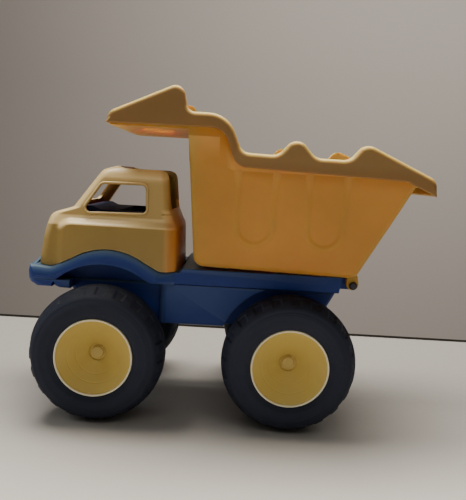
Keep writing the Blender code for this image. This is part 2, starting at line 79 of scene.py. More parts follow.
# Bed
PIN_X, PIN_Z, PIN_R = -108.1, 118.1, 1.8
BED_LEVELS = ((100.0, 64.7), (210.0, 76.0), (300.0, 76.0))
RIM_HALF = 83.0
LUG_Y = (50.0, 58.0)
EAR_Y = (42.5, 49.5)
TRAY_HALF = 73.4


# ---------------------------------------------------------------- outlines

def rounded(corners, steps=8):
    """Outline through corners (x, z) or (x, z, radius), each radius as an arc."""
    outline = []
    for i, corner in enumerate(corners):
        point = Vector(corner[:2])
        if len(corner) == 2:
            outline.append(tuple(point))
            continue
        before = (Vector(corners[i - 1][:2]) - point).normalized()
        after = (Vector(corners[(i + 1) % len(corners)][:2]) - point).normalized()
        half = before.angle(after) / 2
        centre = point + (before + after).normalized() * (corner[2] / math.sin(half))
        start = point + before * (corner[2] / math.tan(half)) - centre
        end = point + after * (corner[2] / math.tan(half)) - centre
        turn = start.angle_signed(end)
        for k in range(steps + 1):
            outline.append(tuple(centre + Matrix.Rotation(-turn * k / steps, 2) @ start))
    return outline


def inset(outline, distance):
    """The outline moved inwards by a distance, each side staying parallel."""
    area = sum(a[0] * b[1] - b[0] * a[1] for a, b in zip(outline, outline[1:] + outline[:1]))
    side = distance if area > 0 else -distance
    moved = []
    for i, point in enumerate(outline):
        before = (Vector(point) - Vector(outline[i - 1])).normalized()
        after = (Vector(outline[(i + 1) % len(outline)]) - Vector(point)).normalized()
        normal = Vector((-before.y - after.y, before.x + after.x)).normalized()
        stretch = max(normal.dot(Vector((-before.y, before.x))), 0.5)
        moved.append(tuple(Vector(point) + normal * side / stretch))
    return moved


def along(table, place):
    """Value at a place in a sorted table of (place, value), straight between its rows."""
    if place <= table[0][0]:
        return table[0][1]
    for (p0, v0), (p1, v1) in zip(table, table[1:]):
        if place <= p1:
            return v0 + (v1 - v0) * (place - p0) / (p1 - p0)
    return table[-1][1]


def smooth(edge0, edge1, value):
    """From 0 at one edge to 1 at the other, without a kink at either."""
    t = max(0.0, min(1.0, (value - edge0) / (edge1 - edge0)))
    return t * t * (3 - 2 * t)


def densify(points, step):
    """Points added along a polyline so that none is further apart than a step."""
    dense = []
    for a, b in zip(points, points[1:]):
        count = max(1, math.ceil(math.dist(a, b) / step))
        for k in range(count):
            t = k / count
            dense.append((a[0] + (b[0] - a[0]) * t, a[1] + (b[1] - a[1]) * t))
    return dense + [points[-1]]


def narrower(levels, by):
    """(height, half-width) levels with each half-width less by a distance."""
    return tuple((z, w - by) for z, w in levels)


# ---------------------------------------------------------------- mesh makers

def mesh_object(name, bm):
    """Turns a bmesh in millimetres into an object in metres."""
    bmesh.ops.recalc_face_normals(bm, faces=bm.faces)
    bmesh.ops.scale(bm, vec=(MM, MM, MM), verts=bm.verts)
    mesh = bpy.data.meshes.new(name)
    bm.to_mesh(mesh)
    bm.free()
    ob = bpy.data.objects.new(name, mesh)
    bpy.context.scene.collection.objects.link(ob)
    return ob


def lofted(name, rings, closed=False, weld=False):
    """A solid through rings of points, the last joined to the first or both filled in.

    Points that two rings share, such as those on an axis, get no face between them.
    """
    bm = bmesh.new()
    rings = [[bm.verts.new(point) for point in ring] for ring in rings]
    for ring, other in zip(rings, rings[1:] + rings[:1] if closed else rings[1:]):
        for i in range(len(ring)):
            j = (i + 1) % len(ring)
            if ring[i].co != other[i].co or ring[j].co != other[j].co:
                bm.faces.new((ring[i], ring[j], other[j], other[i]))
    if not closed:
        bm.faces.new(rings[0])
        bm.faces.new(rings[-1])
    if weld:
        bmesh.ops.remove_doubles(bm, verts=bm.verts, dist=1e-4)
        bmesh.ops.dissolve_degenerate(bm, edges=bm.edges, dist=1e-5)
    return mesh_object(name, bm)


def prism(name, outline, y0, y1, levels=None):
    """An (x, z) outline extruded along Y. With levels, its half-width follows the height."""
    bm = bmesh.new()
    face = bm.faces.new([bm.verts.new((x, y0, z)) for x, z in outline])
    for part in bmesh.ops.extrude_face_region(bm, geom=[face])["geom"]:
        if isinstance(part, bmesh.types.BMVert):
            part.co.y = y1
    if levels:
        for height, _ in levels[1:-1]:
            geom = bm.verts[:] + bm.edges[:] + bm.faces[:]
            bmesh.ops.bisect_plane(bm, geom=geom, plane_co=(0, 0, height), plane_no=(0, 0, 1), dist=1e-5)
        for vert in bm.verts:
            vert.co.y = math.copysign(along(levels, vert.co.z), vert.co.y)
    return mesh_object(name, bm)


def turned(name, profile, centre, axis="Y", sides=96, shape=None):
    """A closed (radius, along) profile turned about an axis, Y or Z, through a centre.

    shape(radius, along, turn) gives each point's own radius.
    """
    rings = []
    for k in range(sides):
        c, s = math.cos(math.tau * k / sides), math.sin(math.tau * k / sides)
        ring = []
        for r, a in profile:
            if shape:
                r = shape(r, a, k / sides)
            spoke = (r * c, a, r * s) if axis == "Y" else (r * c, r * s, a)
            ring.append(Vector(spoke) + Vector(centre))
        rings.append(ring)
    return lofted(name, rings, closed=True, weld=True)


def rod(name, radius, start, end, sides=48):
    """A round bar along Y or Z between two points."""
    start, end = Vector(start), Vector(end)
    axis = "Y" if abs(end.y - start.y) > abs(end.z - start.z) else "Z"
    length = (end - start).length
    low = min(start, end, key=lambda p: p.y + p.z)
    return turned(name, [(0, 0), (radius, 0), (radius, length), (0, length)], low, axis, sides)


def settle(ob):
    """Applies the object's modifiers."""
    graph = bpy.context.evaluated_depsgraph_get()
    graph.update()
    mesh = bpy.data.meshes.new_from_object(ob.evaluated_get(graph), depsgraph=graph)
    ob.modifiers.clear()
    ob.data = mesh
    return ob


def soften(ob, width, angle=35.0, segments=4, weigh=None):
    """Rounds sharp edges. weigh(edge middle) gives each edge's share of the width."""
    bevel = ob.modifiers.new("soft", "BEVEL")
    bevel.width = width * MM
    bevel.segments = segments
    bevel.limit_method = "ANGLE"
    bevel.angle_limit = math.radians(angle)
    if weigh:
        bevel.limit_method = "WEIGHT"
        mesh = ob.data
        layer = mesh.attributes.new("bevel_weight_edge", "FLOAT", "EDGE")
        bm = bmesh.new()
        bm.from_mesh(mesh)
        bm.edges.ensure_lookup_table()
        for edge in bm.edges:
            sharp = len(edge.link_faces) == 2 and edge.calc_face_angle(0.0) > math.radians(angle)
            middle = (edge.verts[0].co + edge.verts[1].co) / 2 / MM
            layer.data[edge.index].value = weigh(middle) if sharp else 0.0
        bm.free()
    return settle(ob)


def combine(ob, tools, operation):
    """Joins the tools to the object or cuts them out of it, and removes them."""
    for tool in tools:
        step = ob.modifiers.new("step", "BOOLEAN")
        step.operation = operation
        step.solver = "EXACT"
        step.object = tool
        settle(ob)
        bpy.data.objects.remove(tool)
    return ob


def join(ob, *tools):
    """The tools become part of the object."""
    return combine(ob, tools, "UNION")


def cut(ob, *tools):
    """The tools are taken out of the object."""
    return combine(ob, tools, "DIFFERENCE")


def finish_shape(ob, angle=32.0):
    """Smooth shading with flat faces kept flat."""
    bm = bmesh.new()
    bm.from_mesh(ob.data)
    bmesh.ops.remove_doubles(bm, verts=bm.verts, dist=1e-6)
    bmesh.ops.dissolve_degenerate(bm, edges=bm.edges, dist=1e-6)
    bm.to_mesh(ob.data)
    bm.free()
    ob.data.shade_smooth()
    ob.data.set_sharp_from_angle(angle=math.radians(angle))
    weighted = ob.modifiers.new("flat_faces", "WEIGHTED_NORMAL")
    weighted.keep_sharp = True
    weighted.weight = 80
    return ob


# ---------------------------------------------------------------- materials

def new_material(name):
    """A material with its node tree and its Principled shader."""
    mat = bpy.data.materials.new(name)
    mat.use_nodes = True
    tree = mat.node_tree
    return mat, tree, tree.nodes["Principled BSDF"]


def noise_node(tree, coords, scale, detail=4.0, rough=0.55):
    """Cloudy noise from 0 to 1."""
    node = tree.nodes.new("ShaderNodeTexNoise")
    node.inputs["Scale"].default_value = scale
    node.inputs["Detail"].default_value = detail
    node.inputs["Roughness"].default_value = rough
    tree.links.new(coords, node.inputs["Vector"])
    return node.outputs["Fac"]


def spread(tree, value, low, high, out_low, out_high):
    """A value's range mapped onto another and held at its ends."""
    node = tree.nodes.new("ShaderNodeMapRange")
    for socket, number in zip(("From Min", "From Max", "To Min", "To Max"), (low, high, out_low, out_high)):
        node.inputs[socket].default_value = number
    tree.links.new(value, node.inputs["Value"])
    return node.outputs["Result"]


def mixed(tree, factor, first, second):
    """Colour between two, each a colour or a socket."""
    node = tree.nodes.new("ShaderNodeMix")
    node.data_type = "RGBA"
    tree.links.new(factor, node.inputs["Factor"])
    for socket, colour in (("A", first), ("B", second)):
        target = [s for s in node.inputs if s.name == socket and s.type == "RGBA"][0]
        if isinstance(colour, tuple):
            target.default_value = (*colour, 1.0)
        else:
            tree.links.new(colour, target)
    return [s for s in node.outputs if s.type == "RGBA"][0]


def plastic(name, colour, worn, rough, glow=0.0, bump=0.12, specular=0.5):
    """Moulded plastic: cloudy colour, scuffed rises, fine grain; glow lets light soak through."""
    mat, tree, shader = new_material(name)
    coords = tree.nodes.new("ShaderNodeTexCoord").outputs["Object"]
    cloud = noise_node(tree, coords, 14.0, 5.0)
    darker = tuple(c * 0.86 for c in colour)
    base = mixed(tree, spread(tree, cloud, 0.35, 0.65, 0.0, 1.0), darker, colour)
    pointiness = tree.nodes.new("ShaderNodeNewGeometry").outputs["Pointiness"]
    base = mixed(tree, spread(tree, pointiness, 0.53, 0.62, 0.0, 0.55), base, worn)
    tree.links.new(base, shader.inputs["Base Color"])
    scuff = noise_node(tree, coords, 120.0, 6.0, 0.7)
    tree.links.new(spread(tree, scuff, 0.3, 0.7, rough - 0.07, rough + 0.1), shader.inputs["Roughness"])
    relief = tree.nodes.new("ShaderNodeBump")
    relief.inputs["Strength"].default_value = bump
    relief.inputs["Distance"].default_value = 0.3 * MM
    tree.links.new(noise_node(tree, coords, 900.0, 3.0), relief.inputs["Height"])
    tree.links.new(relief.outputs["Normal"], shader.inputs["Normal"])
    shader.inputs["IOR"].default_value = 1.5
    shader.inputs["Specular IOR Level"].default_value = specular
    if glow:
        shader.inputs["Subsurface Weight"].default_value = glow
        shader.inputs["Subsurface Radius"].default_value = (1.0, 0.42, 0.10)
        shader.inputs["Subsurface Scale"].default_value = 8.0 * MM
    return mat


def overlay(mat, colour, *factors):
    """Lays a colour over a material's own where all the factors are high."""
    tree = mat.node_tree
    shader = tree.nodes["Principled BSDF"]
    share = factors[0](tree)
    for factor in factors[1:]:
        times = tree.nodes.new("ShaderNodeMath")
        times.operation = "MULTIPLY"
        tree.links.new(share, times.inputs[0])
        tree.links.new(factor(tree), times.inputs[1])
        share = times.outputs[0]
    under = shader.inputs["Base Color"].links[0].from_socket
    tree.links.new(mixed(tree, share, under, colour), shader.inputs["Base Color"])


def painted_top_shading(low, high, top=1.0):
    """Rises with how far a surface faces upwards: the mask of painted highlight on tops, and of painted shade on
    the tyres' tops.
    """
    def factor(tree):
        split = tree.nodes.new("ShaderNodeSeparateXYZ")
        tree.links.new(tree.nodes.new("ShaderNodeNewGeometry").outputs["Normal"], split.inputs[0])
        return spread(tree, split.outputs["Z"], low, high, 0.0, top)
    return factor


def beyond(axis, low, high, top=1.0):
    """Rises from one place to another along an axis of the piece, on both sides of it for Y."""
    def factor(tree):
        split = tree.nodes.new("ShaderNodeSeparateXYZ")
        tree.links.new(tree.nodes.new("ShaderNodeTexCoord").outputs["Object"], split.inputs[0])
        value = split.outputs[axis]
        if axis == "Y":
            size = tree.nodes.new("ShaderNodeMath")
            size.operation = "ABSOLUTE"
            tree.links.new(value, size.inputs[0])
            value = size.outputs[0]
        return spread(tree, value, low * MM, high * MM, 0.0, top)
    return factor


def metal(name, colour, rough):
    """Steel under a cloudy dull film."""
    mat, tree, shader = new_material(name)
    coords = tree.nodes.new("ShaderNodeTexCoord").outputs["Object"]
    film = noise_node(tree, coords, 260.0, 5.0)
    base = mixed(tree, film, colour, tuple(c * 0.6 for c in colour))
    tree.links.new(base, shader.inputs["Base Color"])
    tree.links.new(spread(tree, film, 0.3, 0.7, rough - 0.08, rough + 0.15), shader.inputs["Roughness"])
    shader.inputs["Metallic"].default_value = 1.0
    return mat


# The bed: a painted highlight on the rim's inner faces and rolled edges behind the canopy
ORANGE = plastic("bed_orange", (0.50, 0.30, 0.058), (0.76, 0.52, 0.17), 0.42, glow=0.5, specular=0.2)
overlay(ORANGE, (0.86, 0.64, 0.22), beyond("Y", 72.5, 73.3), beyond("Z", 212.0, 218.0, 0.8),
        beyond("X", -2.0, -8.0))
# Painted shade on the rim's skirt outside the tub's wall
overlay(ORANGE, (0.25, 0.145, 0.058), beyond("Y", 78.5, 80.0, 0.9))
# Painted highlight on the bed's upward-facing tops
overlay(ORANGE, (0.88, 0.60, 0.15), painted_top_shading(0.15, 0.75, 0.95), beyond("Z", 195.0, 205.0))

# The cab: a painted highlight on its upward-facing tops
OCHRE = plastic("cab_ochre", (0.36, 0.232, 0.048), (0.80, 0.64, 0.34), 0.34, glow=0.12)
overlay(OCHRE, (0.86, 0.62, 0.27), painted_top_shading(0.05, 0.36, 0.95))
# Painted bounce light from the orange bed on the cab's back
overlay(OCHRE, (0.95, 0.36, 0.085), beyond("X", 53.0, 43.0, 0.75))

NAVY = plastic("chassis_navy", (0.017, 0.043, 0.225), (0.10, 0.16, 0.28), 0.46, specular=0.25)
# Painted highlight on the chassis's upward-facing tops
overlay(NAVY, (0.09, 0.15, 0.19), painted_top_shading(0.05, 0.8, 0.85), beyond("Z", 100.0, 106.0))
INSIDE = plastic("interior_navy", (0.008, 0.012, 0.038), (0.02, 0.025, 0.05), 0.65, specular=0.2)

# The wheels: yellow hubs with a painted highlight on the lip, and tyres with painted shade on their tops
HUB = plastic("hub_yellow", (0.70, 0.50, 0.125), (0.95, 0.82, 0.50), 0.45, glow=0.10, specular=0.3)
overlay(HUB, (0.98, 0.88, 0.62), beyond("Y", 97.0, 97.6))
# The cap: the hub's yellow made darker, painted shade that deepens the groove round it
CAP = plastic("cap_yellow_shaded", (0.60, 0.43, 0.11), (0.90, 0.75, 0.42), 0.45)
TYRE = plastic("tyre_black", (0.028, 0.032, 0.050), (0.05, 0.055, 0.07), 0.68, bump=0.25, specular=0.15)
# Painted shade on the tyres' upward-facing tops
overlay(TYRE, (0.005, 0.006, 0.010), painted_top_shading(0.3, 0.95, 0.9))

STEEL = metal("axle_steel", (0.52, 0.52, 0.52), 0.3)
DARK_STEEL = metal("pin_steel", (0.06, 0.06, 0.07), 0.4)


def paint(ob, mat):
    """Gives an object one material."""
    ob.data.materials.clear()
    ob.data.materials.append(mat)


def dress(ob, mat, body, slot, *nodes):
    """Gives a piece its material and its body, and hides the CAD nodes it stands for; its slot is not used."""
    paint(ob, mat)
    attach(ob, body)
    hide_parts(*nodes)
    return ob


# ---------------------------------------------------------------- chassis

def seat_line(lift, steps=24):
    """Line where the cab sits on the chassis, nose to rear, raised by a lift."""
    arch_x, arch_z, arch_r = 98.5, 83.1 + lift, 53.9
    crest = []
    for k in range(steps + 1):
        a = math.radians(45.2 + (134.8 - 45.2) * k / steps)
        crest.append((arch_x + arch_r * math.cos(a), arch_z + arch_r * math.sin(a)))
    front = rounded([(SEAT_FRONT, 121.4 + lift), (144.5, 120.4 + lift, 9.0), crest[3]])[:-1]
    rear = rounded([crest[-4], (55.0, 120.6 + lift, 9.0), (42.0, 120.6 + lift)])[1:-1]
    return front + crest[3:-3] + rear


def roll_off(y, half, reach):
    """From 0 on top of a rounded shoulder to 1 at its side, a quarter ellipse."""
    t = max(0.0, 1 - (half - abs(y)) / reach)
    return 1 - math.sqrt(max(0.0, 1 - t * t))


def shoulder_stations(half):
    """Distances from the middle at which a rounded shoulder is drawn, closest at its edge."""
    near = [half - a for a in (0.0, 0.04, 0.15, 0.35, 0.65, 1.05, 1.6, 2.3, 3.2, 4.3, 5.5, 7.0, 9.0)]
    return sorted(-y for y in near) + [-30.0, 0.0, 30.0] + sorted(near)


def fender_shape(outline, half, squash, base):
    """Outlines of the bumper and fenders: shoulders rolled off, corners drawn in, rear end tapered.

    A squash above 0 lowers an outline's top down to the base, and one below 0 raises its underside.
    """
    line = sorted(seat_line(0.0))

    def outline_at(y):
        roll, corner = roll_off(y, half, 5.0), roll_off(y, half, 8.0)
        points = []
        for x, z in outline:
            if squash > 0:
                top = along(line, min(x, SEAT_FRONT))
                if x > SEAT_FRONT - 0.2 and z > top:
                    z = top + (z - top) * (1 - smooth(44.0, 56.0, abs(y)))
                z -= squash * roll * (z - base) / (top - base)
            else:
                z -= squash * roll * (base - z) / 7.0
            taper = 1 - 0.115 * (1 - smooth(41.0, 60.0, x))
            points.append((x - 6.5 * corner * smooth(148.0, 160.0, x), y * taper, z))
        return points

    return [outline_at(y) for y in shoulder_stations(half)]


def make_deck():
    """Upper chassis moulding: bumper top, fenders, deck and hinge ears."""
    low = PARTING + 0.15
    nose = [(163.8, low), (164.2, 116.0, 5.0), (163.2, 122.8, 4.0), (161.2, 126.6, 1.6)]
    nose += [(SEAT_FRONT + 0.4, 126.4, 0.8), (SEAT_FRONT + 0.4, 121.6)]
    line = seat_line(0.0)
    front = rounded(nose, 6) + line + [(42.0, 120.6), (42.0, low)]
    deck = lofted("deck", fender_shape(front, FENDER_HALF, 8.5, low))
    rear = [(60.0, low + 0.3), (60.0, 117.0), (44.0, 117.0), (43.0, 120.4), (38.4, 120.4, 1.0)]
    rear += [(35.6, DECK_TOP, 1.0), (-100.2, DECK_TOP, 1.0)]
    rear += [(DECK_REAR - 0.5, 115.5), (DECK_REAR, low + 0.3)]
    rear = prism("rear", rounded(rear), -DECK_HALF, DECK_HALF)
    join(deck, soften(rear, 2.0, 60.0, 4))
    arch = [(101.0 + 59.0 * math.cos(a), 66.0 + 59.0 * math.sin(a))
            for a in (math.radians(42.0 + 96.0 * k / 40) for k in range(41))]
    under_fender = [(x, z - 6.0) for x, z in line if 70.0 < x < 128.0] + [(66.0, 95.0), (134.0, 95.0)]
    pocket = [(54.0, 100.0), (54.0, 117.5), (37.5, 117.8), (33.0, DECK_TOP - WALL)]
    pocket += [(-95.0, DECK_TOP - WALL), (-95.0, 100.0)]
    for side in (-1, 1):
        cut(deck, prism("arch", [(143.0, 95.0)] + arch + [(59.0, 95.0)], side * HULL_HALF, side * 80))
        cut(deck, prism("fender", under_fender, side * HULL_HALF, side * (FENDER_HALF - 3.0)))
        cut(deck, prism("pocket", pocket, side * HULL_HALF, side * (DECK_HALF - WALL)))
    ear = [(-90.0, 113.5), (-112.7, 113.5, 4.5), (-112.7, 122.7, 4.5), (-90.0, 122.7)]
    for side in (-1, 1):
        join(deck, soften(prism("ear", rounded(ear), side * EAR_Y[0], side * EAR_Y[1]), 0.6, 50.0, 3))
        join(deck, rod("rest", 4.0, (12.0, side * 30, 122.5), (12.0, side * 30, 127.6)))
    cut(deck, rod("pin_hole", PIN_R + GAP, (PIN_X, -70.0, PIN_Z), (PIN_X, 70.0, PIN_Z)))
    return finish_shape(deck, 40.0)


def flank_outline(by):
    """Side view of the hull's broad middle between the wheels, or of the hollow inside its wall."""
    radius, low, high = WHEEL_R + 3.5 + by, BELLY + by, PARTING - 0.15 + by
    levels = [high + (low - high) * k / 24 for k in range(25)]
    arc = [(AXLES[1] + math.sqrt(radius ** 2 - (z - AXLE_Z) ** 2), z) for z in levels]
    return [(FLANK_FRONT - by, low), (FLANK_FRONT - by, high)] + arc


def flank_shape(y):
    """Outline of the hull's broad middle at one place across: curved in plan in front, round below."""
    step = HULL_HALF + 1
    round_off = roll_off(y, FLANK_HALF, FLANK_HALF - step)
    floor = BELLY + 2.5 * max(0.0, round_off * 2 - 1)
    (x, low), (_, high), *arc = flank_outline(0.0)
    x += 7.0 * (1 - round_off)
    return [(x, y, floor), (x, y, high)] + [(x, y, max(z, floor)) for x, z in arc]


def make_hull():
    """Lower chassis moulding: belly, bumper underside and the axle bosses."""
    top = PARTING - 0.15
    outline = [(136.0, top), (128.0, 96.0, 4.0), (118.0, 62.0), (112.0, 43.5, 6.0)]
    outline += [(88.0, 43.5, 6.0), (76.0, BELLY, 4.0), (-36.0, BELLY, 4.0), (-45.0, 43.5, 6.0)]
    outline += [(-69.0, 43.5, 6.0), (-80.0, 82.0), (-91.0, 98.5), (-97.0, top)]
    hull = soften(prism("hull", rounded(outline), -HULL_HALF, HULL_HALF), 3.0, 50.0, 5)
    step = HULL_HALF + 1
    reaches = [step + (FLANK_HALF - step) * math.sin(math.radians(7.5 * k)) for k in range(13)]
    join(hull, lofted("flanks", [flank_shape(y) for y in [-y for y in reversed(reaches)] + reaches]))
    lip = [(163.8, top), (162.4, 107.0, 4.0), (157.0, 103.7, 4.0), (143.6, 103.6, 1.0), (141.8, 108.6, 0.4)]
    lip += [(140.4, 104.2, 1.0), (137.0, 103.0, 3.0), (128.6, 102.7), (128.6, top)]
    join(hull, lofted("lip", fender_shape(rounded(lip), FENDER_HALF - 0.4, -3.0, top)))
    for x in AXLES:
        join(hull, rod("boss", 7.5, (x, -49.5, AXLE_Z), (x, 49.5, AXLE_Z)))
    core = [(x, min(z, top - WALL) if z > 100 else z) for x, z in inset(rounded(outline, 3), WALL)]
    core = [(core[0][0], 120.0)] + core[1:-1] + [(core[-1][0], 120.0)]
    cut(hull, prism("core", core, WALL - HULL_HALF, HULL_HALF - WALL))
    cut(hull, prism("flank_core", flank_outline(WALL), WALL - FLANK_HALF, FLANK_HALF - WALL))
    for x in AXLES:
        cut(hull, rod("bore", 2.8, (x, -70, AXLE_Z), (x, 70, AXLE_Z)))
    for x, y in ((50.0, 28.0), (-14.0, 28.0)):
        for side in (-1, 1):
            cut(hull, rod("well", 4.5, (x, side * y, 70.0), (x, side * y, 99.0)))
    return finish_shape(hull)


# ---------------------------------------------------------------- cab

def by_height(corners):
    """(x, z) corners, rounded, as a table of (z, x) going up."""
    return sorted((z, x) for x, z in rounded(corners, 10))


CAB_TOP = 206.9
CROWN = 12.0  # height over which the roof rounds off
CAB_HALF = 60.6  # at the lower panels
FRONT = by_height([(158.0, 118.0), (158.0, 126.0), (155.3, 147.0, 20.0), (150.6, 164.4, 9.0),
                   (132.2, 170.6, 2.5), (115.3, 194.8, 5.0), (109.4, 203.3, 6.0), (99.0, CAB_TOP)])
REAR = by_height([(38.0, 118.0), (39.6, 156.5, 8.0), (46.0, 171.5, 6.0), (48.2, 198.0, 9.0),
                  (49.6, 205.6, 3.0), (58.0, CAB_TOP)])
SIDE = ((100.0, 57.4), (156.0, 55.8), (164.0, 52.4), (206.6, 45.6))  # height, half-width behind the panels
PANEL_FRONT, PANEL_TOP, PANEL_ROUND = 141.5, 161.0, 11.0


def cab_half(x, z):
    """Half-width of the cab at a point of its side: greenhouse, proud lower panel, roof crown."""
    half = along(SIDE, z)
    dx = max(0.0, x - (PANEL_FRONT - PANEL_ROUND))
    dz = max(0.0, z - (PANEL_TOP - PANEL_ROUND))
    inside = PANEL_ROUND - math.hypot(dx, dz) if dx or dz else PANEL_ROUND
    half += (CAB_HALF - half) * smooth(-1.0, 4.6, inside)
    over = max(0.0, z - (CAB_TOP - CROWN)) / CROWN
    return half - CROWN * (1 - math.sqrt(max(0.0, 1 - over * over)))


def cab_section(z, shrink):
    """Plan outline of the cab at a height, rear centre round the left side to the nose and back."""
    rear, front = along(REAR, z) + shrink, along(FRONT, z) - shrink
    back_r, front_r = (11.0 if z < 168.0 else 8.0) - shrink, 8.5 - shrink
    full = CAB_HALF - shrink
    quarter = [math.pi / 2 * k / 12 for k in range(13)]
    length = front - front_r - rear - back_r
    side = [(rear, (full - back_r) * k / 7) for k in range(7)]
    side += [(rear + back_r * (1 - math.cos(a)), full - back_r * (1 - math.sin(a))) for a in quarter]
    side += [(rear + back_r + length * k / 40, full) for k in range(1, 40)]
    side += [(front - front_r * (1 - math.sin(a)), full - front_r * (1 - math.cos(a))) for a in quarter]
    side += [(front, (full - front_r) * (1 - k / 8)) for k in range(1, 8)]
    outline = []
    for x, y in side:
        half = cab_half(x, z + shrink) - shrink
        share = y / full
        x -= CAB_BOW * share ** 2 * smooth(front - 14.0, front, x)
        x += BACK_BOW * share ** 2 * (1 - smooth(rear, rear + 16.0, x))
        outline.append((x, half * share))
    outline.append((front, 0.0))
    return outline + [(x, -y) for x, y in reversed(outline[1:-1])]


def cab_form(name, shrink):
    """The cab's outer form, or the hollow inside it, as plan sections stacked up to the roof."""
    heights = [118.0 + 4.0 * k for k in range(9)] + [152.0 + 0.75 * k for k in range(33)]
    heights += [178.0 + 2.0 * k for k in range(9)]
    heights += [CAB_TOP - CROWN + CROWN * math.sin(math.pi / 2 * k / 14) for k in range(1, 15)]
    if shrink:
        heights = [z for z in heights if z < CAB_TOP - shrink - 2.0] + [CAB_TOP - shrink]
        heights[0] -= 10.0
    return lofted(name, [[(x, y, z) for x, y in cab_section(z, shrink)] for z in heights])


def tube(name, path, radius, closed, sides=10):
    """A round bar along a path of points in space."""
    turns = [math.tau * k / sides for k in range(sides)]
    rings = []
    for i, centre in enumerate(path):
        back = path[i - 1] if closed or i else path[0]
        ahead = path[(i + 1) % len(path)] if closed or i < len(path) - 1 else path[-1]
        heading = (ahead - back).normalized()
        across = heading.cross(Vector((0, 1, 0))).normalized()
        over = across.cross(heading)
        rings.append([centre + (across * math.cos(a) + over * math.sin(a)) * radius for a in turns])
    return lofted(name, rings, closed)


def on_side(outline, side, proud):
    """Points of a side view placed on the cab's side, or a little proud of it."""
    return [Vector((x, side * (cab_half(x, z) + proud), z)) for x, z in outline]


def make_cab():
    """Cab shell with windows, windscreen, and one opening over the roof and down the back."""
    cab = cab_form("cab", 0.0)
    cut(cab, cab_form("core", WALL))
    line = seat_line(0.4)
    under = [(170.0, line[0][1])] + line + [(20.0, line[-1][1]), (20.0, 90.0), (170.0, 90.0)]
    cut(cab, prism("under", under, -70, 70))
    window = rounded([(107.0, 191.4, 5.0), (69.9, 192.0, 4.5), (68.6, 168.6, 3.0), (122.6, 167.2, 3.5)])
    cut(cab, prism("side_window", window, -70, 70))
    for side in (-1, 1):
        join(cab, tube("frame", on_side(inset(window, -0.9), side, 0.35), 1.25, True))
        pillar = densify([(133.6, 172.5), (117.8, 195.0)], 2.0)
        cut(cab, tube("shadow_line", on_side([(x - 2.4, z) for x, z in pillar], side, 0.25), 0.7, False))
    screen = rounded([(40.0, 175.0, 4.0), (36.0, 191.5, 4.0), (-36.0, 191.5, 4.0), (-40.0, 175.0, 4.0)])
    pane = prism("screen", screen, 98.0, 150.0)
    pane.data.transform(Matrix.Rotation(math.radians(-90), 4, "Z"))
    cut(cab, pane)
    slot = rounded([(95.0, 220.0), (95.0, 198.0), (60.0, 198.0), (60.0, 171.6), (30.0, 171.6), (30.0, 220.0)])
    slot = prism("slot", slot, -SLOT_HALF, SLOT_HALF)
    cut(cab, soften(slot, 8.0, 60.0, 6, lambda m: 1.0 if m.x > 91.0 or m.z < 173.0 else 0.05))
    return finish_shape(cab, 40.0)


def make_interior():
    """Seat and dashboard tub: walls up to the window sills, a seat in its well, a dashboard."""
    corners = [(60.5, 137.6), (60.5, 169.5, 2.5), (109.0, 169.5, 8.0), (115.5, 172.3, 6.0)]
    corners += [(124.8, 171.8, 3.0), (126.0, 160.0), (126.0, 137.6)]
    tub = soften(prism("interior", rounded(corners), -47.0, 47.0), 1.8, 50.0, 4)
    well = prism("well", [(64.0, 151.0), (64.0, 190.0), (93.0, 190.0), (93.0, 151.0)], -43.0, 43.0)
    cut(tub, soften(well, 4.0, 50.0, 4, lambda m: 1.0 if m.z < 180.0 else 0.0))
    seat = rounded([(63.5, 150.0), (63.5, 166.0, 3.0), (68.0, 166.0, 2.0), (71.0, 158.0, 3.0),
                    (86.0, 157.0, 3.0), (88.0, 150.0)])
    join(tub, soften(prism("seat", seat, -36.0, 36.0), 1.5, 50.0, 4))
    under = [(63.0, 130.0), (63.0, 148.5), (122.0, 148.5), (122.0, 130.0)]
    cut(tub, prism("under", under, -44.5, 44.5))
    return finish_shape(tub)


# ---------------------------------------------------------------- bed

RIM_TOP = (
    (99.2, 240.2), (97.8, 249.0, 8.5), (40.2, 275.2, 7.8), (35.6, 252.3, 7.0), (3.6, 252.3, 23.0),
    (-8.6, 222.9, 9.0), (-37.0, 222.2, 12.0), (-47.3, 233.9, 9.0), (-56.0, 233.9, 9.0),
    (-66.8, 221.6, 12.0), (-94.0, 221.4, 12.0), (-104.6, 234.2, 9.0), (-112.0, 232.9, 12.0),
    (-164.2, 209.4, 9.0), (-164.2, 196.6),
)
RIM_BELOW = ((-140.0, 207.2, 8.0), (-4.4, 211.4, 12.0), (6.6, 240.8, 14.0))


def rim_outline():
    """Side view of the rim: canopy fin, step, two bumps and the falling tail."""
    return rounded(RIM_TOP + RIM_BELOW)


def rim_count():
    """Points of the rim's outline that belong to its upper line."""
    return sum(1 if len(corner) == 2 else 9 for corner in RIM_TOP)


def rim_station(y):
    """The rim's outline at a distance from the middle, its edges rolled off at the skirt's face."""
    upper = inset(rim_outline(), 4.2 * roll_off(y, RIM_HALF, 4.2))
    lower = inset(rim_outline(), 1.0 * roll_off(y, RIM_HALF, 1.0))
    count = rim_count()
    return [(x, y, z) for x, z in lower[:1] + upper[1:count - 1] + lower[count - 1:]]


